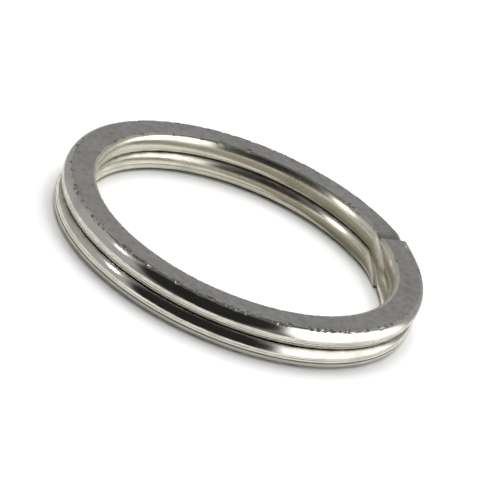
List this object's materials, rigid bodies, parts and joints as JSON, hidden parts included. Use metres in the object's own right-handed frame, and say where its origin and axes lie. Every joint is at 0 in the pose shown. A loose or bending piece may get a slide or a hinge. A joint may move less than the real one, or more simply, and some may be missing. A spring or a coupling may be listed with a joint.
{
  "type": "split key ring",
  "caption": "Split key ring of flat spring wire wound into close turns, with crowned sides, a short sloped crossover and tapered free ends that spring open to take a key.",
  "frame": {"origin": "centre of the ring on the flat face that it lies on", "axes": "+Z along the axis of the ring, up from the face it lies on; +X from the centre through the middle of the crossover, where the wire climbs from the lower turn to the upper one"},
  "size_m": [0.03, 0.03, 0.0034],
  "materials": {
    "plated_wire": "polished"
  },
  "bodies": {
    "crossover": {"crossover": "plated_wire"},
    "upper_turn_1": {"upper_turn_1": "plated_wire"},
    "upper_turn_2": {"upper_turn_2": "plated_wire"},
    "upper_turn_3": {"upper_turn_3": "plated_wire"},
    "upper_turn_4": {"upper_turn_4": "plated_wire"},
    "upper_turn_5": {"upper_turn_5": "plated_wire"},
    "upper_tip": {"upper_tip": "plated_wire"},
    "lower_turn_1": {"lower_turn_1": "plated_wire"},
    "lower_turn_2": {"lower_turn_2": "plated_wire"},
    "lower_turn_3": {"lower_turn_3": "plated_wire"},
    "lower_turn_4": {"lower_turn_4": "plated_wire"},
    "lower_turn_5": {"lower_turn_5": "plated_wire"},
    "lower_tip": {"lower_tip": "plated_wire"}
  },
  "joints": [
    {"name": "upper_flex_1", "type": "hinge", "parent": "crossover", "child": "upper_turn_1", "pos_m": [0.01299, 0.0075, 0.00175], "axis": [-0.5, 0.866, 0], "range_deg": [0, 0.12]},
    {"name": "upper_flex_2", "type": "hinge", "parent": "upper_turn_1", "child": "upper_turn_2", "pos_m": [0.00131, 0.01494, 0.00175], "axis": [-0.9962, 0.0872, 0], "range_deg": [0, 1.03]},
    {"name": "upper_flex_3", "type": "hinge", "parent": "upper_turn_2", "child": "upper_turn_3", "pos_m": [-0.01149, 0.00964, 0.00175], "axis": [-0.6428, -0.766, 0], "range_deg": [0, 2.11]},
    {"name": "upper_turn_open", "type": "hinge", "parent": "upper_turn_3", "child": "upper_turn_4", "pos_m": [-0.01449, -0.00388, 0.00175], "axis": [0.2588, -0.9659, 0], "range_deg": [0, 2.4], "stiffness_Nm_per_rad": 0.1},
    {"name": "upper_flex_5", "type": "hinge", "parent": "upper_turn_4", "child": "upper_turn_5", "pos_m": [-0.00513, -0.0141, 0.00175], "axis": [0.9397, -0.342, 0], "range_deg": [0, 1.76]},
    {"name": "upper_flex_6", "type": "hinge", "parent": "upper_turn_5", "child": "upper_tip", "pos_m": [0.0086, -0.01229, 0.00175], "axis": [0.8192, 0.5736, 0], "range_deg": [0, 0.62]},
    {"name": "lower_flex_1", "type": "hinge", "parent": "crossover", "child": "lower_turn_1", "pos_m": [0.01299, -0.0075, 0.00165], "axis": [-0.5, -0.866, 0], "range_deg": [0, 0.12]},
    {"name": "lower_flex_2", "type": "hinge", "parent": "lower_turn_1", "child": "lower_turn_2", "pos_m": [0.00131, -0.01494, 0.00165], "axis": [-0.9962, -0.0872, 0], "range_deg": [0, 1.03]},
    {"name": "lower_flex_3", "type": "hinge", "parent": "lower_turn_2", "child": "lower_turn_3", "pos_m": [-0.01149, -0.00964, 0.00165], "axis": [-0.6428, 0.766, 0], "range_deg": [0, 2.11]},
    {"name": "lower_turn_open", "type": "hinge", "parent": "lower_turn_3", "child": "lower_turn_4", "pos_m": [-0.01449, 0.00388, 0.00165], "axis": [0.2588, 0.9659, 0], "range_deg": [0, 2.4], "stiffness_Nm_per_rad": 0.1},
    {"name": "lower_flex_5", "type": "hinge", "parent": "lower_turn_4", "child": "lower_turn_5", "pos_m": [-0.00513, 0.0141, 0.00165], "axis": [0.9397, 0.342, 0], "range_deg": [0, 1.76]},
    {"name": "lower_flex_6", "type": "hinge", "parent": "lower_turn_5", "child": "lower_tip", "pos_m": [0.0086, 0.01229, 0.00165], "axis": [0.8192, -0.5736, 0], "range_deg": [0, 0.62]}
  ],
  "couplings": [
    {"joint": "upper_flex_1", "follows": "upper_turn_open", "ratio": 0.048},
    {"joint": "upper_flex_2", "follows": "upper_turn_open", "ratio": 0.417},
    {"joint": "upper_flex_3", "follows": "upper_turn_open", "ratio": 0.861},
    {"joint": "upper_flex_5", "follows": "upper_turn_open", "ratio": 0.716},
    {"joint": "upper_flex_6", "follows": "upper_turn_open", "ratio": 0.251},
    {"joint": "lower_flex_1", "follows": "lower_turn_open", "ratio": 0.048},
    {"joint": "lower_flex_2", "follows": "lower_turn_open", "ratio": 0.417},
    {"joint": "lower_flex_3", "follows": "lower_turn_open", "ratio": 0.861},
    {"joint": "lower_flex_5", "follows": "lower_turn_open", "ratio": 0.716},
    {"joint": "lower_flex_6", "follows": "lower_turn_open", "ratio": 0.251}
  ]
}
